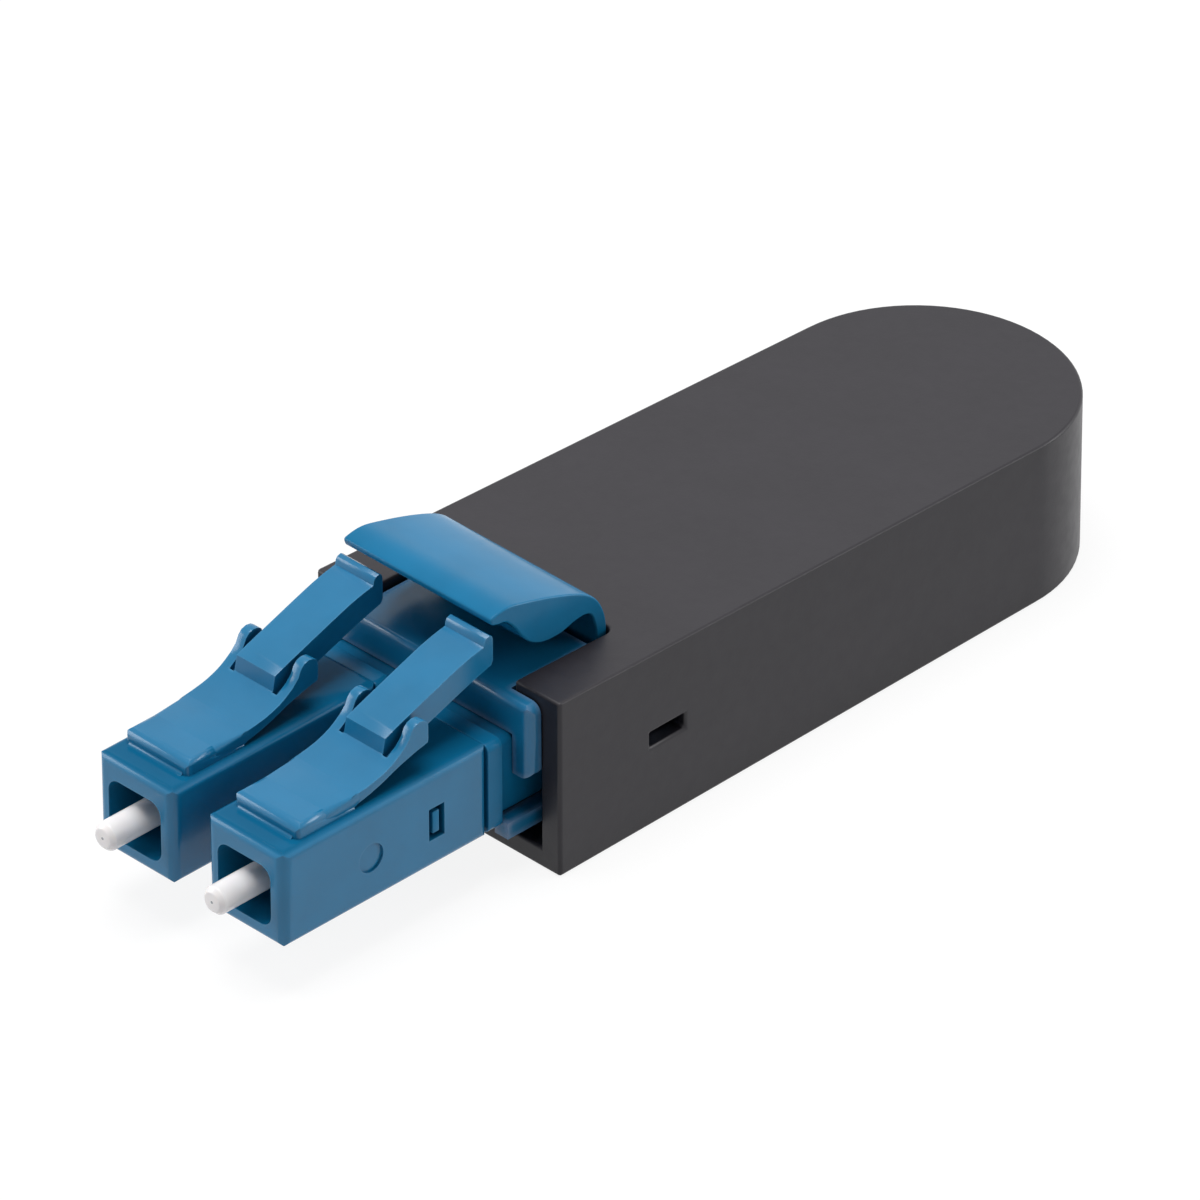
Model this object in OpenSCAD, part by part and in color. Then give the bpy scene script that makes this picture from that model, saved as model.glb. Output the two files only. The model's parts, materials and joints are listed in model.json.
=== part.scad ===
// Fibre loopback plug: two square plugs held side by side in a clip, closed by a cap that
// holds the loop of fibre between them.
// Millimetres. X runs across the two plugs, Y from the plug faces to the rounded rear, Z up.
// Inside the modules the origin is on the plane of the plug faces, midway between the plugs
// and level with their undersides. place() moves the whole part on to the middle of its base.

/* [Duplex plugs] */
// Distance between the two plug axes
pitch = 6.25; // [6.2:0.05:6.5]
// Width of one plug body
plug_w = 4.4; // [4.3:0.02:4.5]
// Height of one plug body
plug_h = 4.45; // [4.4:0.01:4.6]
// Length of the square plug body
plug_len = 11.3; // [11.2:0.1:12]
// Height of the ferrule axis above the plug's underside
axis_z = 2.1; // [2:0.05:2.2]
// Width of the mouth in the plug face
mouth_w = 3; // [2.8:0.05:3.2]
// Height of the mouth in the plug face
mouth_h = 2.8; // [2.6:0.05:2.9]
// Depth of the mouth
mouth_depth = 4.1; // [3.8:0.1:4.3]
// Rounding of the plug body's edges
plug_round = 0.4; // [0.2:0.02:0.44]

/* [Ferrules] */
// Diameter of the ferrule
ferrule_d = 1.25; // [1.2:0.01:1.3]
// Length of ferrule that stands out of the plug face
ferrule_out = 1.75; // [1.4:0.05:2]
// Distance that the sprung ferrule can be pushed in
ferrule_travel = 1; // [0.5:0.1:1.2]
// Diameter of the spring wire
wire_d = 0.28; // [0.2:0.02:0.3]
// Turns of the spring
spring_turns = 6; // [4:1:7]
// Diameter of the buffered fibre
fibre_d = 0.9; // [0.6:0.05:0.95]

/* [Latches] */
// Width of the latch root, its side strips and its catches
latch_w = 3.6; // [3.5:0.05:3.7]
// Width of the latch arm
arm_w = 2.2; // [2.1:0.05:2.4]
// Distance from the plug face to the latch's flexure
latch_root_y = 4.3; // [4.2:0.05:4.5]
// Thickness of the latch at its flexure
root_t = 0.5; // [0.4:0.02:0.54]

/* [Clip] */
// Width of the trigger
trigger_w = 8.4; // [8:0.1:8.6]
// Thickness of the clip's front plate
plate_t = 0.65; // [0.5:0.05:0.7]
// Width of the clip's front plate
plate_w = 11.9; // [11.6:0.05:12]
// Length of the clip behind its front plate
clip_len = 7.5; // [7.2:0.1:9]

/* [Cap] */
// Width of the cap at its open front
cap_w = 13.85; // [13.7:0.05:14.3]
// Height of the cap at its open front
cap_h = 8.26; // [8.2:0.02:8.6]
// Length of the cap
cap_len = 34.3; // [33:0.1:40]
// Wall at the sides and round the rear
cap_wall = 1.1; // [1:0.05:1.2]
// Thickness of the floor
cap_floor = 0.95; // [0.8:0.05:1]
// Thickness of the roof
cap_roof = 1; // [0.8:0.05:1.1]
// Draft of the two sides in degrees
side_draft = 0.72; // [0.4:0.02:0.8]
// Draft of the roof in degrees
roof_draft = 1.43; // [0.6:0.05:1.5]

/* [Hidden] */
$fn = 48;
// Clearances, and the overlap that merges shapes of one piece
merge = 0.01;
slip = 0.02;
fit = 0.05;
gap = 0.12;
over = 1;
// Plug bodies
stop_t = 0.6;
stop_y = mouth_depth + stop_t;
chamber_d = 3.1;
plug_wall = 0.45;
corner_round = 1.4 * plug_round;
pocket_w = plug_w - 2 * plug_wall;
pocket_y = plug_len - 3.7;
window_y = plug_len - 3.35;
window_l = 0.85;
window_h = 1.5;
tab_gap = 0.24;
tab_sink = 0.04;
dimple_y = 4.8;
dimple_d = 1.3;
dimple_depth = 0.1;
// Latch root pad
pad_z = plug_h + 0.63;
pad_y = 1.2;
pad_nose = 0.45;
pad_fillet = 0.16;
pad_round = 0.27;
groove_w = 0.26;
root_r = root_t / 2;
root_z = pad_z - merge - root_r;
// Width left for the clip inside the cap, and for the neck between the clip's walls
side_slope = tan(side_draft);
roof_slope = tan(roof_draft);
clip_w = cap_w - 2 * cap_wall - 2 * side_slope * clip_len - 2 * gap;
clip_side = 0.64;
grip_w = clip_w - pitch - 2 * clip_side;
neck_w = grip_w - 2 * fit;
// Ferrules, flanges and springs
flange_d = 2.8;
flange_t = 1.2;
tail_d = 1.7;
tail_l = 3;
flange_y = stop_y + slip;
nose_y = mouth_depth + fit;
waist_d = 0.9;
hold_l = 2;
ferrule_end = flange_y + hold_l;
tip_chamfer = 0.2;
spring_seat = 2.1;
spring_d = 2.15;
// Rear bodies
block_y = pocket_y + gap;
collar_w = plug_w - 0.2;
collar_y = plug_len + slip;
collar_l = 0.8;
neck_y = collar_y + collar_l;
neck_l = 4.9;
heel_y = neck_y + neck_l;
heel_rim = 0.3;
heel_w = neck_w + 2 * heel_rim;
heel_t = 0.9;
tube_y = heel_y + heel_t;
tube_d = 2.4;
tube_l = 2.5;
bore_d = fibre_d + 2 * gap;
tail_room = flange_y + flange_t + tail_l + ferrule_travel + gap;
sleeve_d = 3;
sleeve_l = 2;
seat_y = block_y + spring_seat;
spring_y = flange_y + flange_t;
// Front edges of the clip and the cap, set back along the neck
neck_front = 0.78;
plate_y = neck_y + neck_front;
clip_y = plate_y + plate_t;
cap_y = clip_y + fit;
// Cap: its form narrows from the open front to a half round rear
cap_bottom = -2.34;
cap_top = cap_bottom + cap_h;
rear_r = (cap_w / 2 - side_slope * cap_len) / (1 - side_slope);
rear_y = cap_y + cap_len - rear_r;
notch_w = trigger_w + 0.4;
notch_r = 0.4;
snap_y = cap_y + 5.15;
snap_l = 2;
snap_z = 1.4;
snap_h = 0.7;
// Clip
plate_z = 2.1;
plate_top = 5.5;
plate_round = 0.5;
brow_round = 0.3;
clip_end = clip_y + clip_len;
clip_top = cap_top - cap_roof - roof_slope * (clip_len + fit) - gap;
clip_bottom = -0.5;
deck_w = notch_w - 0.3;
brow_l = 1.6;
leg_y = clip_y + brow_l;
keel_drop = 1;
rail_w = 0.5;
lip_w = 0.25;
lip_top = axis_z - neck_w / 2 - fit;
// Trigger and the well that it stands in
hinge_in = 5;
hinge_y = cap_y + hinge_in;
hinge_z = 4.4;
hinge_r = 0.3;
well_y = hinge_y - 0.7;
well_end = hinge_y + 0.5;
well_w = trigger_w + 0.2;
// Fibre loop
loop_x = rear_r - cap_wall - fibre_d / 2 - 0.25;
bend_r = 8;
bend_shift = loop_x - pitch / 2;
bend_a = acos(1 - bend_shift / (2 * bend_r));
bend_l = 2 * bend_r * sin(bend_a);
bend_in = 1.5;
bend_y = tube_y + tube_l + bend_in;
fibre_y = ferrule_end + ferrule_travel + 0.4;
// Whole part
rear_end = cap_y + cap_len;
mid_y = (rear_end - ferrule_out) / 2;

// Smooth curve through a list of points, with n steps to each span
function curve_at(a, b, c, d, t) =
    0.5 * (2 * b + (c - a) * t + (2 * a - 5 * b + 4 * c - d) * t * t + (3 * b - a - 3 * c + d) * t * t * t);
function curve(p, n = 5) = [
    for (i = [0 : len(p) - 2], j = [0 : n - 1])
        curve_at(p[max(i - 1, 0)], p[i], p[i + 1], p[min(i + 2, len(p) - 1)], j / n),
    p[len(p) - 1]
];

function backwards(p) = [for (i = [len(p) - 1 : -1 : 0]) p[i]];

module place() {
    translate([0, -mid_y, -cap_bottom]) children();
}

module left() {
    translate([-pitch / 2, 0, 0]) children();
}

module right() {
    translate([pitch / 2, 0, 0]) children();
}

// A flat shape drawn in X and Z, run from y for a length l
module along_y(y, l) {
    translate([0, y + l, 0]) rotate([90, 0, 0]) linear_extrude(l) children();
}

// A flat shape drawn in Y and Z, run across a width w about the middle
module across_x(w) {
    rotate([90, 0, 90]) linear_extrude(w, center = true) children();
}

// A round bar or bore on the ferrule axis
module on_axis(d, y, l) {
    translate([0, y, axis_z]) rotate([-90, 0, 0]) cylinder(d = d, h = l);
}

// Rounded rectangle that stands on the origin
module soft_square(w, h, r) {
    translate([-w / 2 + r, 0]) square([w - 2 * r, h]);
    translate([-w / 2, r]) square([w, h - 2 * r]);
    for (x = [r - w / 2, w / 2 - r], y = [r, h - r]) {
        translate([x, y]) circle(r);
    }
}

// Rounded bar about the ferrule axis
module axis_bar(w, y, l, r) {
    translate([0, 0, axis_z - w / 2]) along_y(y, l) soft_square(w, w, r);
}

// Plug body

module plug_form() {
    intersection() {
        along_y(0, plug_len) soft_square(plug_w, plug_h, plug_round);
        linear_extrude(plug_h) soft_square(plug_w, plug_len, corner_round);
        across_x(plug_w) translate([plug_len / 2, 0]) soft_square(plug_len, plug_h, plug_round);
    }
}

// Raised root of the latch, with a rounded nose, a fillet at its foot and a socket for the flexure
module latch_pad() {
    difference() {
        union() {
            intersection() {
                along_y(pad_y, latch_root_y - pad_y)
                    translate([0, plug_h / 2]) soft_square(latch_w, pad_z - plug_h / 2, pad_round);
                translate([0, 0, plug_h / 2])
                    linear_extrude(pad_z)
                        translate([0, pad_y]) soft_square(latch_w, 2 * latch_root_y, pad_round);
                across_x(latch_w)
                    translate([pad_y + latch_root_y, 0]) soft_square(2 * latch_root_y, pad_z, pad_nose);
            }
            pad_foot();
        }
        latch_pivot(root_r + slip, plug_w);
    }
}

// Hollow fillet between the pad's front and the plug body's top
module pad_foot() {
    w = latch_w - 2 * pad_round;
    difference() {
        translate([-w / 2, pad_y - pad_fillet, plug_h - pad_fillet])
            cube([w, pad_fillet + merge, 2 * pad_fillet]);
        translate([0, pad_y - pad_fillet, plug_h + pad_fillet]) rotate([0, 90, 0])
            cylinder(r = pad_fillet, h = plug_w, center = true);
    }
}

module latch_pivot(r, w) {
    translate([0, latch_root_y, root_z]) rotate([0, 90, 0]) cylinder(r = r, h = w, center = true);
}

module plug_cavity() {
    translate([0, 0, axis_z - mouth_h / 2])
        along_y(-over, mouth_depth + over) soft_square(mouth_w, mouth_h, 0.6);
    on_axis(tail_d + 2 * gap, 0, plug_len);
    on_axis(chamber_d, stop_y, plug_len - stop_y);
    axis_bar(pocket_w, pocket_y, plug_len - pocket_y + over, 0.2);
    translate([-plug_w, window_y, axis_z - window_h / 2]) cube([2 * plug_w, window_l, window_h]);
}

module plug_body() {
    color("#3f82ad") difference() {
        union() {
            plug_form();
            latch_pad();
        }
        plug_cavity();
        for (x = [-plug_w / 2, plug_w / 2]) {
            translate([x, dimple_y, axis_z]) rotate([0, 90, 0])
                cylinder(d = dimple_d, h = 2 * dimple_depth, center = true);
        }
    }
}

// Latch: thin side strips that end in the two catches, and a deep middle arm. Its outlines are
// drawn from the flexure, and the arm's rear end stays the same distance behind the plug body.

tip = plug_len + 1.3 - latch_root_y;
step_y = 2.35;
latch_under = curve([
    [0, -0.22], [0.7, -0.08], [1.5, 0.15], [2.4, 0.48], [3.4, 0.76],
    [4.3, 0.98], [tip - 1.6, 1.8], [tip - 0.5, 2.13]
]);
strip_top = curve([[0, root_r + merge], [0.7, 0.35], [1.4, 0.49], [2.1, 0.76], [2.7, 1.16]]);
catch_top = [
    [2.98, 1.46], [3.13, 1.78], [3.3, 1.96], [3.55, 2.04],
    [3.8, 2], [3.98, 1.88], [4.05, 1.68], [4.05, 1.08]
];
arm_top = curve([[step_y + 0.02, 1.5], [2.9, 1.71], [4, 2.1], [tip - 1.8, 2.96], [tip - 0.5, 3.26]]);
arm_lip = [
    [tip - 0.46, 3.48], [tip - 0.38, 3.6], [tip - 0.18, 3.66], [tip - 0.05, 3.58],
    [tip, 3.44], [tip, 2.43], [tip - 0.1, 2.24]
];
function until(p, y) = [for (q = p) if (q[0] < y) q];

module latch() {
    color("#3f82ad") {
        latch_pivot(root_r, latch_w);
        translate([0, latch_root_y, root_z]) {
            latch_arm();
            for (side = [0, 1]) {
                mirror([side, 0, 0]) translate([(latch_w + arm_w) / 4, 0, 0]) latch_side();
            }
        }
    }
}

// Middle: from the flexure over a steep step and a straight run to a raised lip at the rear end
module latch_arm() {
    across_x(arm_w)
        polygon(concat(until(strip_top, step_y), arm_top, arm_lip, backwards(latch_under)));
}

// Side strip and catch: the strip rises into a round shouldered catch with an upright rear face,
// and a groove parts it from the arm
module latch_side() {
    strip_w = (latch_w - arm_w) / 2;
    difference() {
        across_x(strip_w)
            polygon(concat(strip_top, catch_top, backwards(until(latch_under, 4.05))));
        translate([-strip_w / 2, 0, 0])
            across_x(2 * groove_w)
                polygon([[step_y - 0.15, 0.55], [3.2, 1], [4.1, 1.6], [4.1, 2.2], [step_y - 0.15, 2.2]]);
    }
}

// Ferrule, its flange and its spring

// Ground rod with a waist, by which the flange holds it
module ferrule() {
    color("#e9e6e0") {
        translate([0, -ferrule_out, axis_z]) rotate([-90, 0, 0])
            cylinder(d1 = ferrule_d - 2 * tip_chamfer, d2 = ferrule_d, h = tip_chamfer);
        on_axis(ferrule_d, tip_chamfer - ferrule_out, nose_y - tip_chamfer + ferrule_out);
        on_axis(waist_d, nose_y - merge, flange_y - nose_y + 2 * merge);
        on_axis(ferrule_d, flange_y, hold_l);
    }
}

// Six-sided flange with a nose round the ferrule's waist, and a tail inside the spring
module ferrule_flange() {
    color("#b9bcc0") difference() {
        union() {
            translate([0, flange_y, axis_z]) rotate([-90, 30, 0])
                cylinder(d = flange_d, h = flange_t, $fn = 6);
            on_axis(tail_d, nose_y, flange_y - nose_y + flange_t + tail_l);
        }
        on_axis(waist_d, nose_y - over, 2 * over);
        on_axis(ferrule_d, flange_y, hold_l);
        on_axis(fibre_d + 2 * fit, ferrule_end - merge, flange_t + tail_l);
    }
}

// Points of the spring's centre line, with the end turns closed up
spring_steps = 14;
function spring_rise(t) = t < 1 ? t * wire_d
    : t > spring_turns + 1 ? spring_room - (spring_turns + 2 - t) * wire_d
    : wire_d + (t - 1) * (spring_room - 2 * wire_d) / spring_turns;
spring_room = seat_y - spring_y - wire_d - 2 * slip;

// Skin over a row of rings, each a list of as many points, with flat ends
module skin(rings) {
    m = len(rings[0]);
    n = len(rings);
    points = [for (ring = rings, point = ring) point];
    sides = [for (i = [0 : n - 2], k = [0 : m - 1])
        [i * m + k, (i + 1) * m + k, (i + 1) * m + (k + 1) % m, i * m + (k + 1) % m]];
    polyhedron(points, concat(sides, [[for (k = [0 : m - 1]) k], [for (k = [1 : m]) n * m - k]]));
}

module spring() {
    rings = [for (i = [0 : spring_steps * (spring_turns + 2)])
        let (t = i / spring_steps)
        [for (b = [0 : 60 : 300])
            let (r = spring_d / 2 + wire_d / 2 * cos(b))
            [r * cos(360 * t), spring_rise(t) + wire_d / 2 * sin(b), r * sin(360 * t)]]];
    color("#9a9da1") translate([0, spring_y + slip + wire_d / 2, axis_z]) skin(rings);
}

// Rear body: closes the plug body, seats the spring and gives the clip its neck

module rear_body() {
    tab_w = plug_w - 2 * tab_sink;
    color("#3a78a0") difference() {
        union() {
            axis_bar(pocket_w - 2 * fit, block_y, collar_y - block_y + over / 2, 0.2);
            translate([-tab_w / 2, window_y + tab_gap, axis_z - window_h / 2 + tab_gap])
                cube([tab_w, window_l - 2 * tab_gap, window_h - 2 * tab_gap]);
            axis_bar(collar_w, collar_y, collar_l, 0.35);
            axis_bar(neck_w, neck_y - over / 2, neck_l + over, 0.3);
            axis_bar(heel_w, heel_y, heel_t, 0.35);
            on_axis(tube_d, heel_y, heel_t + tube_l);
        }
        on_axis(chamber_d - 2 * gap, block_y - over, spring_seat + over);
        on_axis(tail_d + 2 * fit, block_y, tail_room - block_y);
        on_axis(bore_d, block_y, tube_y + tube_l);
    }
}

module crimp_sleeve() {
    color("#c3c5c8") difference() {
        on_axis(sleeve_d, tube_y + gap, sleeve_l);
        on_axis(tube_d + 2 * slip, tube_y, sleeve_l + over);
    }
}

// Clip

module plate_form() {
    intersection() {
        along_y(plate_y, plate_t)
            translate([0, plate_z]) soft_square(plate_w, plate_top - plate_z, plate_round);
        translate([0, plate_y, 0]) linear_extrude(cap_top) soft_square(plate_w, 2 * plate_t, plate_round);
        across_x(plate_w) translate([plate_y + cap_h / 2, 0]) soft_square(cap_h, plate_top, brow_round);
    }
}

// Room for one rear body, open below, with narrow lips that snap under its neck
module grip() {
    translate([-grip_w / 2, plate_y - over, lip_top])
        cube([grip_w, heel_y - fit - plate_y + over, neck_w + 2 * fit]);
    translate([lip_w - grip_w / 2, plate_y - over, clip_bottom - over])
        cube([grip_w - 2 * lip_w, clip_end - plate_y + 2 * over, lip_top - clip_bottom + 2 * over]);
    axis_bar(heel_w + 2 * fit, heel_y - fit, heel_t + 2 * fit, 0.35);
    translate([-heel_w / 2 - fit, heel_y - fit, clip_bottom - over])
        cube([heel_w + 2 * fit, heel_t + 2 * fit, axis_z - clip_bottom + over]);
    translate([-sleeve_d / 2 - gap, heel_y, clip_bottom - over])
        cube([sleeve_d + 2 * gap, clip_end - heel_y + over, axis_z - clip_bottom + over]);
    on_axis(sleeve_d + 2 * gap, heel_y, clip_end - heel_y + over);
}

module trigger_well() {
    translate([-well_w / 2, well_y, hinge_z]) cube([well_w, well_end - well_y, cap_h]);
    trigger_pivot(hinge_r + slip, well_w);
}

module trigger_pivot(r, w) {
    translate([0, hinge_y, hinge_z]) rotate([0, 90, 0]) cylinder(r = r, h = w, center = true);
}

// Wedge on the clip's side that springs into the cap's window
module snap_wedge() {
    reach = cap_wall * 0.35 + gap;
    long = snap_l - 2 * gap;
    translate([clip_w / 2, snap_y + gap, snap_z + gap])
        linear_extrude(snap_h - 2 * gap)
            polygon([[-0.3, 0], [0.1, 0], [reach, 0.35], [reach, long], [-0.3, long]]);
}

// Block across the middle, from y0 to y1 and from z0 to z1
module clip_block(w, y0, y1, z0, z1) {
    translate([-w / 2, y0, z0]) cube([w, y1 - y0, z1 - z0]);
}

module duplex_clip() {
    color("#3576a1") {
        difference() {
            union() {
                plate_form();
                clip_block(clip_w, clip_y - merge, leg_y + merge, plate_z, clip_top);
                clip_block(clip_w, leg_y, clip_end, clip_bottom, clip_top);
                clip_block(deck_w, clip_y - merge, well_y, plate_z, plate_top);
                clip_block(pitch, plate_y, leg_y + merge, clip_bottom, plate_top - keel_drop);
            }
            left() grip();
            right() grip();
            trigger_well();
        }
        for (side = [0, 1]) {
            mirror([side, 0, 0]) {
                clip_rail();
                snap_wedge();
            }
        }
    }
}

// Rail low on the outer side, whose front end bears on the collar of the rear body
module clip_rail() {
    x = pitch / 2 + grip_w / 2 - lip_w;
    translate([x, neck_y + slip, clip_bottom]) cube([rail_w + lip_w, leg_y - neck_y, lip_top - clip_bottom]);
}

// Lift trigger: a lip over the latch tips, a belly below it and an upright foot in the clip.
// Its outline is drawn from the hinge.

foot_t = 0.5;
trigger_top = curve([
    [-6.05, 4.62], [-5.95, 4.8], [-5.1, 4.9], [-4, 4.66], [-2.4, 4.18],
    [-1, 3.62], [-0.2, 3], [0.25, 2.1], [0.35, 1.1], [foot_t / 2, 0]
]);
trigger_under = curve([
    [-0.2, 1], [-0.24, 1.6], [-0.45, 2.3], [-0.8, 2.55], [-1.4, 2.52], [-2.2, 2.32], [-3.1, 2.34],
    [-3.8, 2.62], [-4.3, 3.1], [-4.7, 3.7], [-5.2, 4.22], [-5.7, 4.34], [-5.98, 4.42]
]);

module trigger() {
    color("#3f86b3") {
        trigger_pivot(hinge_r, trigger_w);
        translate([0, hinge_y, hinge_z])
            across_x(trigger_w) polygon(concat(trigger_top, [[-foot_t / 2, 0]], trigger_under));
    }
}

// Fibre loop: straight out of each plug, spread to the width of the cap, then once round the rear

// Each station is its place and the outward direction across the fibre
function bend_station(h, way) = [
    pitch / 2 + (way > 0 ? 0 : bend_shift) + way * bend_r * (1 - cos(h)),
    bend_y + (way > 0 ? 0 : bend_l) + way * bend_r * sin(h),
    cos(h), -sin(h)
];
bend_steps = 4;
function fibre_leg() = concat(
    [[pitch / 2, fibre_y, 1, 0]],
    [for (i = [0 : bend_steps]) bend_station(bend_a * i / bend_steps, 1)],
    [for (i = [bend_steps - 1 : -1 : 0]) bend_station(bend_a * i / bend_steps, -1)]
);
function across(stations) = [for (s = backwards(stations)) [-s[0], s[1], -s[2], s[3]]];

module fibre_loop() {
    turn = [for (a = [0 : 10 : 180]) [loop_x * cos(a), rear_y + loop_x * sin(a), cos(a), sin(a)]];
    route = concat(fibre_leg(), turn, across(fibre_leg()));
    rings = [for (s = route)
        [for (b = [0 : 36 : 324])
            let (r = fibre_d / 2 * cos(b))
            [s[0] + r * s[2], s[1] + r * s[3], axis_z - fibre_d / 2 * sin(b)]]];
    color("#f2efe6") skin(rings);
}

// Cap

// The cap's outer form drawn in by side, bottom and top allowances
module cap_form(side, bottom, top, lead) {
    half = cap_w / 2 - side;
    long = rear_y + cap_w;
    intersection() {
        translate([0, 0, cap_bottom]) linear_extrude(2 * cap_h) {
            polygon([
                [-half - side_slope * lead, cap_y - lead], [half + side_slope * lead, cap_y - lead],
                [rear_r - side, rear_y], [side - rear_r, rear_y]
            ]);
            translate([0, rear_y]) circle(rear_r - side, $fn = 96);
        }
        across_x(2 * cap_w) polygon([
            [cap_y - lead, cap_bottom + bottom], [long, cap_bottom + bottom],
            [long, cap_top - top - roof_slope * (long - cap_y)],
            [cap_y - lead, cap_top - top + roof_slope * lead]
        ]);
    }
}

module cap() {
    color("#4a484d") difference() {
        cap_form(0, 0, 0, 0);
        cap_form(cap_wall, cap_floor, cap_roof, over);
        translate([0, cap_y - over, hinge_z])
            linear_extrude(cap_h) soft_square(notch_w, well_end - cap_y + over, notch_r);
        translate([-cap_w, snap_y, snap_z]) cube([2 * cap_w, snap_l, snap_h]);
    }
}

place() cap();
place() duplex_clip();
place() trigger();
place() fibre_loop();
place() left() plug_body();  // plug_body_left
place() right() plug_body();  // plug_body_right
place() left() latch();  // latch_left
place() right() latch();  // latch_right
place() left() ferrule();  // ferrule_left
place() right() ferrule();  // ferrule_right
place() left() ferrule_flange();  // ferrule_flange_left
place() right() ferrule_flange();  // ferrule_flange_right
place() left() spring();  // spring_left
place() right() spring();  // spring_right
place() left() rear_body();  // rear_body_left
place() right() rear_body();  // rear_body_right
place() left() crimp_sleeve();  // crimp_sleeve_left
place() right() crimp_sleeve();  // crimp_sleeve_right
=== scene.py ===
"""Looks of the fibre loopback plug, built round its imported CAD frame. Metres, +Z up, +Y to the rear."""
import json
import math

import bmesh
import bpy
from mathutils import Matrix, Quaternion, Vector


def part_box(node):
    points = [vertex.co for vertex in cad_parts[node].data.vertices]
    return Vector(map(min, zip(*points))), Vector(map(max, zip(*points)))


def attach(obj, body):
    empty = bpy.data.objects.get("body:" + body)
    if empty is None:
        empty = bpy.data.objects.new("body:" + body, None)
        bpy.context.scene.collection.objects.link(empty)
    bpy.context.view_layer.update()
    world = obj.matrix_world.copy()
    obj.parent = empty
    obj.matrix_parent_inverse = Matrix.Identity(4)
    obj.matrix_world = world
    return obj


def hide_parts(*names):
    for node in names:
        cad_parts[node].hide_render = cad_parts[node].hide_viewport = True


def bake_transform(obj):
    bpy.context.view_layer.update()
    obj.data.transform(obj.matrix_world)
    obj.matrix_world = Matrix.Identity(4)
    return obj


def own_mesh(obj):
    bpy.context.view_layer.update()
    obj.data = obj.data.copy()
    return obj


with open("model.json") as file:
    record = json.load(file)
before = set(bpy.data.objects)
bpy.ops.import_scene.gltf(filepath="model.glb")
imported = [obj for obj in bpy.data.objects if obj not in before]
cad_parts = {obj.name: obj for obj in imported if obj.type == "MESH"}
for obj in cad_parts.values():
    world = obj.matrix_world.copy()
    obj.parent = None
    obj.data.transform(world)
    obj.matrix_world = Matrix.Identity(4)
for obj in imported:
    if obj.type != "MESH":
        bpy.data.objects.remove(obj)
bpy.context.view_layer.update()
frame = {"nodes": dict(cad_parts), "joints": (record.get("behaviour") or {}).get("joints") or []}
nodes = frame["nodes"]
hinges = {joint["name"]: joint.get("pos_m") for joint in frame["joints"]}

MM = 0.001
SIDES = ("left", "right")
# Both latches grow out of their plug bodies on one line along X, which passes through this point
ROOT_LINE = hinges["latch_right_press"]


# Node trees

# Where most of what a noise gives lies
NOISE_LOW = 0.3
NOISE_HIGH = 0.7
OCCLUSION_SAMPLES = 4
# How open a spot is where it counts fully, and where it no longer counts
EDGE_FADE = (0.55, 0.95)
RECESS_FADE = (0.25, 0.8)
# How much a face looks up where it starts to count, and where it counts fully
UPWARD_FADE = (0.6, 0.92)


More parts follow.
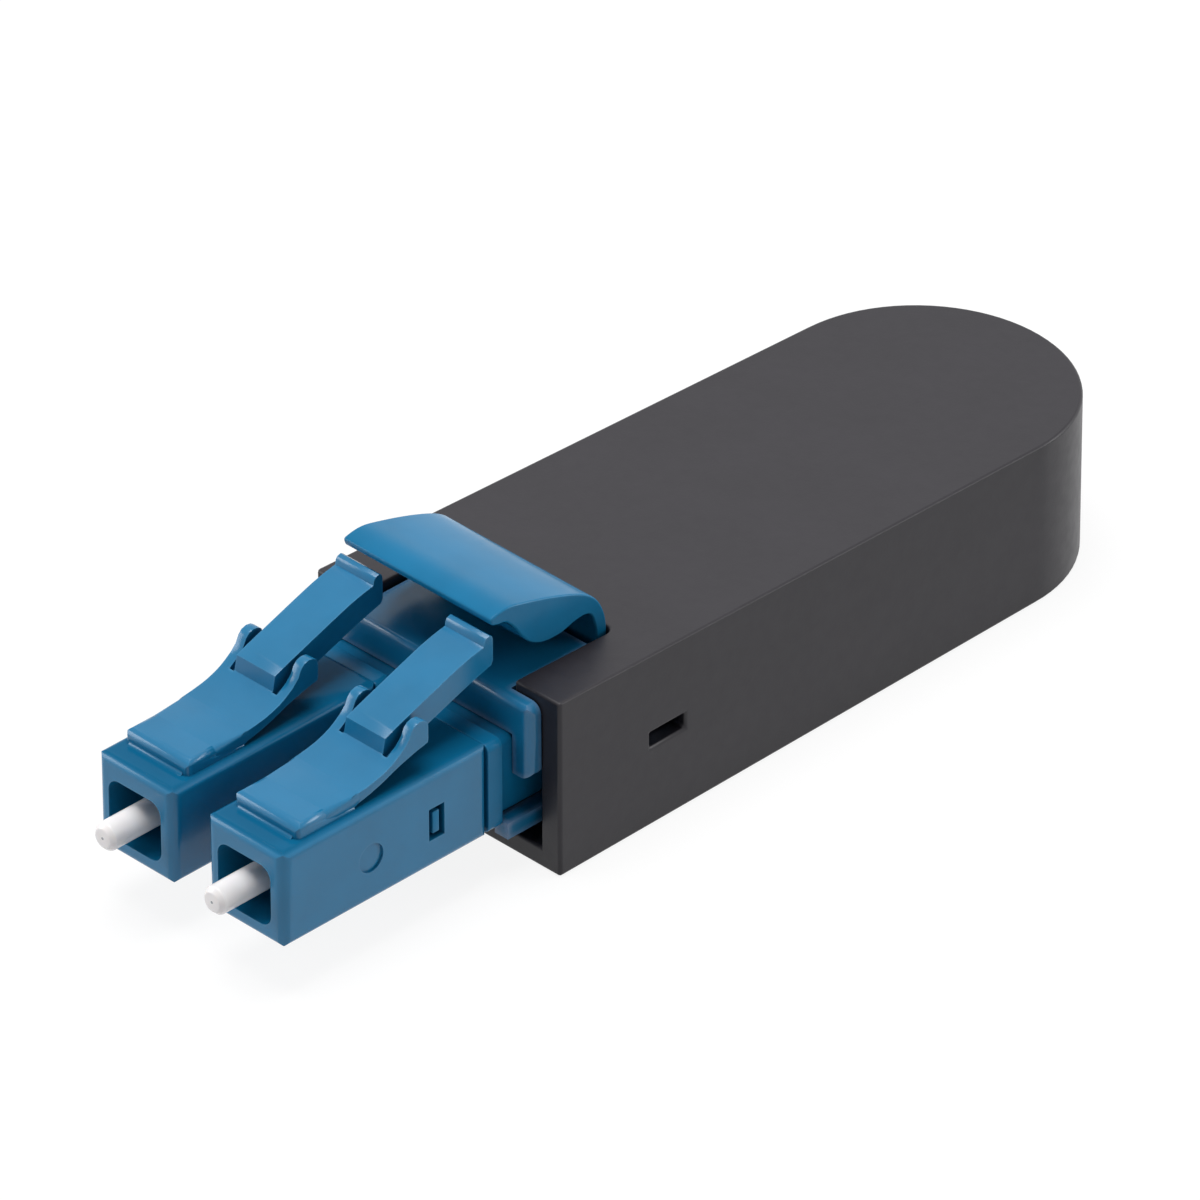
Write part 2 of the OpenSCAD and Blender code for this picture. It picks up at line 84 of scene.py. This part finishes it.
class Tree:
    """The node tree of a material or a world, with short calls to add and link nodes."""

    def __init__(self, owner):
        self.owner = owner
        owner.use_nodes = True
        self.nodes = owner.node_tree.nodes
        self.links = owner.node_tree.links

    def add(self, kind, **values):
        """A node, with its properties and then its inputs set by name; an input may be an output socket."""
        node = self.nodes.new("ShaderNode" + kind)
        for key, value in values.items():
            if hasattr(node, key):
                setattr(node, key, value)
            else:
                self.set(node, key.replace("_", " "), value)
        return node

    def set(self, node, name, value):
        """Gives a node's input a value, or links an output socket to it."""
        socket = node.inputs[name]
        if isinstance(value, bpy.types.NodeSocket):
            self.links.new(value, socket)
        else:
            socket.default_value = value

    def math(self, operation, a, b=0.0):
        """Result of one sum on two values, each a number or an output socket."""
        node = self.add("Math", operation=operation)
        self.set(node, 0, a)
        self.set(node, 1, b)
        return node.outputs[0]

    def distance(self, a, b):
        """Length of the step that goes a one way and b square to it."""
        return self.math("SQRT", self.math("ADD", self.math("POWER", a, 2), self.math("POWER", b, 2)))

    def noise(self, per_mm, detail=2.0, rough=0.5):
        """Noise fixed to the object, with that many features to a millimetre."""
        place = self.add("TexCoord")
        node = self.add("TexNoise", Vector=place.outputs["Object"])
        self.set(node, "Scale", per_mm / MM)
        self.set(node, "Detail", detail)
        self.set(node, "Roughness", rough)
        return node.outputs["Fac"]

    def spread(self, value, low, high, from_low=NOISE_LOW, from_high=NOISE_HIGH):
        """Value remapped to the range from low to high, and kept inside it."""
        node = self.add("MapRange")
        self.set(node, "Value", value)
        self.set(node, "From Min", from_low)
        self.set(node, "From Max", from_high)
        self.set(node, "To Min", low)
        self.set(node, "To Max", high)
        return node.outputs["Result"]

    def blend(self, share, a, b):
        """Colour between a and b, each three numbers or an output socket."""
        node = self.add("Mix", data_type="RGBA")
        self.links.new(share, node.inputs["Factor"])
        for name, colour in (("A", a), ("B", b)):
            socket = [s for s in node.inputs if s.name == name and s.type == "RGBA"][0]
            if isinstance(colour, bpy.types.NodeSocket):
                self.links.new(colour, socket)
            else:
                socket.default_value = (*colour, 1)
        return [s for s in node.outputs if s.type == "RGBA"][0]

    def edges(self, reach):
        """Share of a spot that is an outer edge, from how near the solid's other side lies."""
        node = self.add("AmbientOcclusion", inside=True, only_local=True, samples=OCCLUSION_SAMPLES,
                        Distance=reach)
        return self.spread(node.outputs["AO"], 1, 0, *EDGE_FADE)

    def recess(self, reach):
        """Share of a spot that is shut in by its surroundings."""
        node = self.add("AmbientOcclusion", samples=OCCLUSION_SAMPLES, Distance=reach)
        return self.spread(node.outputs["AO"], 1, 0, *RECESS_FADE)

    def beyond(self, line, reach):
        """0 within reach of a line along X through that point, and 1 further out."""
        place = self.add("SeparateXYZ", Vector=self.add("TexCoord").outputs["Object"])
        along = self.math("SUBTRACT", place.outputs["Y"], line[1])
        up = self.math("SUBTRACT", place.outputs["Z"], line[2])
        return self.math("GREATER_THAN", self.distance(along, up), reach)

    def upper_faces(self, top):
        """1 on the faces that look up and lie lower than top, and 0 elsewhere."""
        place = self.add("TexCoord")
        facing = self.add("SeparateXYZ", Vector=place.outputs["Normal"]).outputs["Z"]
        height = self.add("SeparateXYZ", Vector=place.outputs["Object"]).outputs["Z"]
        below = self.math("LESS_THAN", height, top)
        return self.math("MULTIPLY", self.spread(facing, 0, 1, *UPWARD_FADE), below)

    def seen(self):
        """1 for rays from the camera or by way of gloss or glass, and 0 for the light on a surface."""
        path = self.add("LightPath")
        ray = path.outputs["Is Camera Ray"]
        for other in ("Is Glossy Ray", "Is Transmission Ray"):
            ray = self.math("MAXIMUM", ray, path.outputs[other])
        return ray

    def bump(self, shader, height, distance):
        """Relief on that shader's surface, as deep as distance."""
        node = self.add("Bump", Height=height, Distance=distance, Strength=1.0)
        self.links.new(node.outputs["Normal"], shader.inputs["Normal"])


# Materials

FLOW_DARK = 0.93
FLOW_PALE = 1.07
GLOSS_UNEVEN = 0.03
POLISHED_ROUGH = 0.08
POLISHED_SHEEN = 0.06
# Share of painted shade on the polished upper faces
POLISHED_SHADE_SHARE = 0.7
# How far the painted shade in recesses reaches
RECESS_SHADE_REACH = 2.5 * MM
# How far from an outer edge the painted highlight reaches, and how much of it the noise lets through
EDGE_HIGHLIGHT_REACH = 0.1 * MM
EDGE_HIGHLIGHT_SHARE = (0.25, 0.55)
# No painted edge highlight this near the root of a latch
ROOT_CLEAR = 0.6 * MM
METAL_DARK = 0.85
METAL_UNEVEN = 0.06
IVORY = ((0.91, 0.88, 0.88), (0.95, 0.92, 0.92))
IVORY_ROUGH = (0.16, 0.26)
GLASS = (0.35, 0.37, 0.40)


def shade(colour, factor):
    """Colour made darker or lighter by that factor."""
    return [min(1.0, c * factor) for c in colour]


def moulded(name, colour, painted_shade, edge_highlight, rough, sheen, grain, depth, polished_below=None, reach=EDGE_HIGHLIGHT_REACH):
    """Moulded plastic: flow marks in the colour, painted shade in its recesses, painted highlights on
    its outer edges, uneven gloss and a fine grain. Its upper faces below the given height are polished
    and get painted shade."""
    t = Tree(bpy.data.materials.new(name))
    shader = t.nodes["Principled BSDF"]
    marks = t.spread(t.noise(per_mm=0.35, detail=3), 0, 1)
    flow_and_shade = t.blend(marks, shade(colour, FLOW_DARK), shade(colour, FLOW_PALE))
    gloss = t.spread(t.noise(per_mm=1.6), rough - GLOSS_UNEVEN, rough + GLOSS_UNEVEN)
    if polished_below is not None:
        polished = t.upper_faces(polished_below)
        gloss = t.math("SUBTRACT", gloss, t.math("MULTIPLY", polished, rough - POLISHED_ROUGH))
        sheen = t.spread(polished, sheen, POLISHED_SHEEN, 0, 1)
        # Painted shade: the polished upper faces are darkened towards the painted shade colour
        flow_and_shade = t.blend(t.math("MULTIPLY", polished, POLISHED_SHADE_SHARE), flow_and_shade, painted_shade)
    # Painted shade: the colour darkens towards the painted shade colour where a spot is shut in
    recess_shaded = t.blend(t.recess(RECESS_SHADE_REACH), flow_and_shade, painted_shade)
    # Painted highlight: outer edges turn paler, broken up by noise
    highlight_share = t.math("MULTIPLY", t.edges(reach), t.spread(t.noise(per_mm=1.2), *EDGE_HIGHLIGHT_SHARE))
    highlight_share = t.math("MULTIPLY", highlight_share, t.beyond(ROOT_LINE, ROOT_CLEAR))
    t.set(shader, "Base Color", t.blend(highlight_share, recess_shaded, edge_highlight))
    t.set(shader, "Roughness", gloss)
    t.set(shader, "Specular IOR Level", sheen)
    t.bump(shader, t.noise(grain, detail=3, rough=0.6), depth)
    return t.owner


def metal(name, colour, rough):
    """Turned or drawn metal with fine marks and uneven gloss."""
    t = Tree(bpy.data.materials.new(name))
    shader = t.nodes["Principled BSDF"]
    marks = t.spread(t.noise(per_mm=3, detail=3), 0, 1)
    gloss = t.spread(t.noise(per_mm=5), rough - METAL_UNEVEN, rough + METAL_UNEVEN)
    t.set(shader, "Base Color", t.blend(marks, shade(colour, METAL_DARK), colour))
    t.set(shader, "Metallic", 1.0)
    t.set(shader, "Roughness", gloss)
    t.bump(shader, t.noise(per_mm=14, detail=3), 0.002 * MM)
    return t.owner


def ceramic(name, fibre_radius):
    """Ground zirconia: ivory white and polished, with the glass fibre's end in the middle of its face."""
    t = Tree(bpy.data.materials.new(name))
    shader = t.nodes["Principled BSDF"]
    low, high = (Vector(corner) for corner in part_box("ferrule_right"))
    middle = (low + high) / 2
    place = t.add("SeparateXYZ", Vector=t.add("TexCoord").outputs["Object"])
    across = t.math("SUBTRACT", t.math("ABSOLUTE", place.outputs["X"]), middle.x)
    up = t.math("SUBTRACT", place.outputs["Z"], middle.z)
    glass = t.math("LESS_THAN", t.distance(across, up), fibre_radius)
    body = t.blend(t.spread(t.noise(per_mm=0.9), 0, 1), *IVORY)
    t.set(shader, "Base Color", t.blend(glass, body, GLASS))
    t.set(shader, "Roughness", t.spread(t.noise(per_mm=8), *IVORY_ROUGH))
    t.set(shader, "Subsurface Weight", 0.15)
    t.set(shader, "Subsurface Radius", (0.6 * MM, 0.5 * MM, 0.4 * MM))
    t.set(shader, "Subsurface Scale", 0.5)
    t.bump(shader, t.noise(per_mm=20), 0.0008 * MM)
    return t.owner


# For each plastic: its own colour, a darker colour for painted shade, and a paler colour for painted edge
# highlights
BLUE = (0.006, 0.168, 0.345)
BLUE_PAINTED_SHADE = (0.003, 0.095, 0.200)
BLUE_HIGHLIGHT = (0.050, 0.250, 0.450)
CLIP_HIGHLIGHT = (0.24, 0.30, 0.45)
CHARCOAL = (0.0175, 0.0158, 0.0205)
CHARCOAL_PAINTED_SHADE = (0.010, 0.009, 0.012)
CHARCOAL_HIGHLIGHT = (0.040, 0.038, 0.044)
JACKET = (0.82, 0.79, 0.72)
JACKET_PAINTED_SHADE = (0.55, 0.52, 0.45)
JACKET_HIGHLIGHT = (0.86, 0.84, 0.78)


def blue(name, edge_highlight=BLUE_HIGHLIGHT, sheen=0.42, **extent):
    """The blue plastic of the clip, trigger, latches and plugs, with a smooth skin."""
    return moulded(name, BLUE, BLUE_PAINTED_SHADE, edge_highlight, rough=0.22, sheen=sheen, grain=9, depth=0.001 * MM,
                   **extent)


# Material of each kind of node, and of the skins over the latch roots
FINISH = {
    "cap": moulded("cap_plastic", CHARCOAL, CHARCOAL_PAINTED_SHADE, CHARCOAL_HIGHLIGHT,
                   rough=0.42, sheen=0.34, grain=7, depth=0.003 * MM),
    # The clip's painted edge highlight is brighter and reaches further
    "duplex_clip": blue("clip_plastic", edge_highlight=CLIP_HIGHLIGHT, reach=0.3 * MM),
    "trigger": blue("trigger_plastic", sheen=0.16),
    # The plug bodies' upper faces below the latch roots are polished and darkened with painted shade
    "plug_body": blue("plug_plastic", polished_below=ROOT_LINE[2]),
    "latch": blue("latch_plastic"),
    # The root skins get no painted edge highlight: its colour is the plain blue
    "latch_root": blue("latch_root_plastic", edge_highlight=BLUE),
    "rear_body": blue("body_plastic", sheen=0.15),
    "ferrule": ceramic("zirconia", fibre_radius=0.0625 * MM),
    "ferrule_flange": metal("flange_metal", (0.55, 0.56, 0.58), rough=0.32),
    "crimp_sleeve": metal("sleeve_metal", (0.62, 0.63, 0.65), rough=0.3),
    "spring": metal("spring_steel", (0.5, 0.5, 0.52), rough=0.25),
    "fibre_loop": moulded("fibre_jacket", JACKET, JACKET_PAINTED_SHADE, JACKET_HIGHLIGHT,
                          rough=0.35, sheen=0.4, grain=6, depth=0.002 * MM),
}


def kind_of(name):
    """A node's name without its side."""
    return name.removesuffix("_left").removesuffix("_right")


# Rounded edges

# How wide the edges of each kind of node are rounded
EDGE = {
    "cap": 0.15 * MM, "trigger": 0.09 * MM, "latch": 0.08 * MM, "plug_body": 0.1 * MM,
    "duplex_clip": 0.08 * MM, "rear_body": 0.08 * MM, "ferrule": 0.05 * MM,
    "ferrule_flange": 0.05 * MM, "crimp_sleeve": 0.05 * MM,
}
SHARP = math.radians(30)
FLAT = math.radians(0.5)
SAME_PLACE = 0.0001 * MM
WELD_REACH = 0.0005 * MM
ROOT_REACH = 0.35 * MM
ROUND_SEGMENTS = 3
# How far the larger faces decide which way the light falls on a rounded edge
FACE_WEIGHT = 95


def at_latch_root(point):
    """True beside the line where a latch grows out of its plug body, which has no edge on the real one."""
    return abs(point[1] - ROOT_LINE[1]) < ROOT_REACH and point[2] > ROOT_LINE[2] - ROOT_REACH


def mark_edges(mesh):
    """Gives a full bevel weight to each edge of a CAD mesh at which its surface turns sharply."""
    keys = [tuple(round(c / SAME_PLACE) for c in v.co) for v in mesh.vertices]
    turns = {}
    for face in mesh.polygons:
        for a, b in face.edge_keys:
            turns.setdefault(frozenset((keys[a], keys[b])), []).append(face.normal)
    weights = mesh.attributes.new("bevel_weight_edge", "FLOAT", "EDGE")
    for edge, weight in zip(mesh.edges, weights.data):
        a, b = edge.vertices
        sides = turns[frozenset((keys[a], keys[b]))]
        seam = at_latch_root(mesh.vertices[a].co) and at_latch_root(mesh.vertices[b].co)
        if len(sides) == 2 and sides[0].angle(sides[1], 0) > SHARP and not seam:
            weight.value = 1.0


def soften(node, width):
    """Rounds a CAD node's sharp edges, with modifiers alone."""
    mark_edges(node.data)
    weld = node.modifiers.new("weld", "WELD")
    weld.merge_threshold = WELD_REACH
    flat = node.modifiers.new("flat", "DECIMATE")
    flat.decimate_type = "DISSOLVE"
    flat.angle_limit = FLAT
    bevel = node.modifiers.new("bevel", "BEVEL")
    bevel.width = width
    bevel.segments = ROUND_SEGMENTS
    bevel.limit_method = "WEIGHT"
    bevel.use_clamp_overlap = True
    normals = node.modifiers.new("normals", "WEIGHTED_NORMAL")
    normals.keep_sharp = False
    normals.weight = FACE_WEIGHT


for name, node in nodes.items():
    kind = kind_of(name)
    node.data.materials.clear()
    node.data.materials.append(FINISH[kind])
    node.data.shade_smooth()
    if kind in EDGE:
        soften(node, EDGE[kind])


def add_piece(name, mesh, material):
    """Object made of that bmesh, smooth and in that material."""
    data = bpy.data.meshes.new(name)
    mesh.to_mesh(data)
    mesh.free()
    data.shade_smooth()
    data.materials.append(material)
    piece = bpy.data.objects.new(name, data)
    bpy.context.scene.collection.objects.link(piece)
    return piece


# Skins over the latch roots

# Along the latch from its hinge line, in mm: where, how far above the CAD surface, the radius of
# the two upper corners, and how far from the hinge line's height the sides end
SKIN = [
    (-1.70, -0.008, 0.27, -0.10), (-1.50, 0.002, 0.265, -0.15), (-1.20, 0.005, 0.24, -0.22),
    (-0.90, 0.006, 0.20, -0.27), (-0.60, 0.006, 0.155, -0.27), (-0.30, 0.006, 0.12, -0.27),
    (-0.12, 0.006, 0.10, -0.27), (0.12, 0.006, 0.085, -0.20), (0.24, 0.003, 0.08, -0.16),
    (0.36, -0.008, 0.08, -0.10),
]
SKIN_WALL = 0.03 * MM
CORNER_STEPS = 5
# The lowest strip of each side leans in, so that its border ends under the surface
FOOT_LEAN = 0.012 * MM
FOOT_HEIGHT = 0.04 * MM


def height_at(x, y, solids):
    """Height of the highest of those solids over a point, found from 1 m above it."""
    hits = [solid.ray_cast((x, y, 1), (0, 0, -1)) for solid in solids]
    return max(place.z for hit, place, _, _ in hits if hit)


def half_profile(half_width, top, corner, foot):
    """From the foot of one side up round the corner to the top, as (x, z) from the middle line."""
    points = [(half_width - FOOT_LEAN, foot), (half_width, foot + FOOT_HEIGHT)]
    for step in range(CORNER_STEPS + 1):
        turn = math.pi / 2 * step / CORNER_STEPS
        x = half_width - corner + corner * math.cos(turn)
        z = top - corner + corner * math.sin(turn)
        points.append((x, z))
    return points


def root_skin(side):
    """Thin skin that joins a latch to its plug body, as the one moulding that they are."""
    latch, plug = nodes["latch_" + side], nodes["plug_body_" + side]
    hinge = Vector(hinges[f"latch_{side}_press"])
    low, high = (Vector(corner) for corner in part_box("latch_" + side))
    half_width = (high.x - low.x) / 2
    mesh = bmesh.new()
    rows = []
    for along, lift, corner, foot in SKIN:
        y = hinge.y + along * MM
        top = height_at(hinge.x, y, (latch, plug)) + lift * MM
        right = half_profile(half_width + lift * MM, top, corner * MM, hinge.z + foot * MM)
        left = [(-x, z) for x, z in reversed(right)]
        rows.append([mesh.verts.new((hinge.x + x, y, z)) for x, z in right + left])
    for row, following in zip(rows, rows[1:]):
        for i in range(len(row) - 1):
            mesh.faces.new((row[i], row[i + 1], following[i + 1], following[i]))
    bmesh.ops.recalc_face_normals(mesh, faces=mesh.faces[:])
    bmesh.ops.solidify(mesh, geom=mesh.faces[:], thickness=SKIN_WALL)
    skin = add_piece("latch_root_" + side, mesh, FINISH["latch_root"])
    skin.data.set_sharp_from_angle(angle=SHARP)
    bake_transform(skin)


bpy.context.view_layer.update()
for side in SIDES:
    root_skin(side)


# Springs

WIRE = 0.26 * MM
COIL_R = 1.075 * MM
OPEN_TURNS = 6
STEPS_PER_TURN = 28
WIRE_SIDES = 10


def coil_height(turn, length):
    """How far along the spring its wire is after that many turns. The first and last turns are closed."""
    if turn < 1:
        return turn * WIRE
    if turn > OPEN_TURNS + 1:
        return length - (OPEN_TURNS + 2 - turn) * WIRE
    return WIRE + (length - 2 * WIRE) * (turn - 1) / OPEN_TURNS


def wire_ring(mesh, centre, out):
    """Ring of points round the wire at centre, from which out leads away from the coil's axis."""
    ring = []
    for i in range(WIRE_SIDES):
        around = math.tau * i / WIRE_SIDES
        offset = out * math.cos(around) + Vector((0, math.sin(around), 0))
        ring.append(mesh.verts.new(centre + offset * WIRE / 2))
    return ring


def spring(side):
    """Round wire coil that stands for the CAD one."""
    low, high = (Vector(corner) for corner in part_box("spring_" + side))
    middle = (low + high) / 2
    length = high.y - low.y - WIRE
    mesh = bmesh.new()
    rings = []
    for step in range((OPEN_TURNS + 2) * STEPS_PER_TURN + 1):
        turn = step / STEPS_PER_TURN
        out = Vector((math.cos(math.tau * turn), 0, math.sin(math.tau * turn)))
        on_axis = Vector((middle.x, low.y + WIRE / 2 + coil_height(turn, length), middle.z))
        rings.append(wire_ring(mesh, on_axis + COIL_R * out, out))
    for ring, following in zip(rings, rings[1:]):
        for i in range(WIRE_SIDES):
            j = (i + 1) % WIRE_SIDES
            mesh.faces.new((ring[i], ring[j], following[j], following[i]))
    mesh.faces.new(rings[0])
    mesh.faces.new(rings[-1])
    bmesh.ops.recalc_face_normals(mesh, faces=mesh.faces[:])
    coil = add_piece("coil_" + side, mesh, FINISH["spring"])
    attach(coil, "housing")
    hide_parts("spring_" + side)
    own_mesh(coil)


for side in SIDES:
    spring(side)


# Stage, light and camera

FLOOR_SIZE = 3
# The floor lies this far under the object, so that the two never share a plane
FLOOR_GAP = 0.02 * MM
FLOOR_LIT = (0.60, 0.60, 0.61, 1)
FLOOR_FAINT = (0.14, 0.14, 0.14, 1)
WHITE = (1, 1, 1, 1)
# Glow near the object and far from it, and the distances at which it starts and ends to rise
FLOOR_GLOW = (0.88, 0.99)
GLOW_REACH = (0.15, 0.6)


def floor():
    """Pale floor that the camera sees as white, apart from the object's shadow. It glows more where
    the lamps no longer reach."""
    bpy.ops.mesh.primitive_plane_add(size=FLOOR_SIZE, location=(0, 0, -FLOOR_GAP))
    plane = bpy.context.object
    plane.name = "floor"
    t = Tree(bpy.data.materials.new("floor"))
    t.nodes.remove(t.nodes["Principled BSDF"])
    away = t.add("VectorMath", operation="LENGTH")
    t.links.new(t.add("TexCoord").outputs["Object"], away.inputs[0])
    strength = t.spread(away.outputs["Value"], *FLOOR_GLOW, *GLOW_REACH)
    glow = t.add("Emission", Color=WHITE, Strength=strength)
    faint = t.add("BsdfDiffuse", Color=FLOOR_FAINT)
    white = t.add("AddShader")
    t.links.new(faint.outputs[0], white.inputs[0])
    t.links.new(glow.outputs[0], white.inputs[1])
    lit = t.add("BsdfDiffuse", Color=FLOOR_LIT)
    mix = t.add("MixShader")
    t.links.new(t.seen(), mix.inputs[0])
    t.links.new(lit.outputs[0], mix.inputs[1])
    t.links.new(white.outputs[0], mix.inputs[2])
    t.links.new(mix.outputs[0], t.nodes["Material Output"].inputs["Surface"])
    plane.data.materials.append(t.owner)


def surroundings(ambient):
    """Soft white surroundings: white to the eye and through glass, and a plain ambient light."""
    t = Tree(bpy.data.worlds.new("studio"))
    bpy.context.scene.world = t.owner
    back = t.nodes["Background"]
    t.set(back, "Color", WHITE)
    t.set(back, "Strength", t.spread(t.seen(), ambient, 1.0, 0, 1))


def softbox(name, place, size, power):
    """Square lamp that faces the frame's origin."""
    data = bpy.data.lights.new(name, "AREA")
    data.size = size
    data.energy = power
    lamp = bpy.data.objects.new(name, data)
    bpy.context.scene.collection.objects.link(lamp)
    lamp.location = place
    lamp.rotation_euler = (-Vector(place)).to_track_quat("-Z", "Y").to_euler()


def camera(azimuth, elevation, roll, lens, place):
    """Camera that looks from that azimuth, counted from -Y towards +X, and elevation. Angles in degrees."""
    data = bpy.data.cameras.new("camera")
    data.lens = lens
    data.sensor_width = 36
    data.clip_start = 0.01
    data.clip_end = 10
    cam = bpy.data.objects.new("camera", data)
    bpy.context.scene.collection.objects.link(cam)
    a = math.radians(azimuth)
    e = math.radians(elevation)
    back = Vector((math.sin(a) * math.cos(e), -math.cos(a) * math.cos(e), math.sin(e)))
    cam.rotation_mode = "QUATERNION"
    cam.rotation_quaternion = (-back).to_track_quat("-Z", "Y") @ Quaternion((0, 0, 1), math.radians(roll))
    cam.location = place
    bpy.context.scene.camera = cam


floor()
surroundings(ambient=0.22)
softbox("key", place=(-0.06, -0.02, 0.62), size=0.4, power=3.4)
softbox("left", place=(-0.50, -0.35, 0.2), size=0.3, power=1.35)
softbox("right", place=(0.35, 0.50, 0.2), size=0.3, power=1.5)
camera(azimuth=45.27, elevation=33.30, roll=-0.136, lens=409.5, place=(0.32577, -0.32306, 0.30697))
bpy.context.scene.view_settings.view_transform = "Standard"
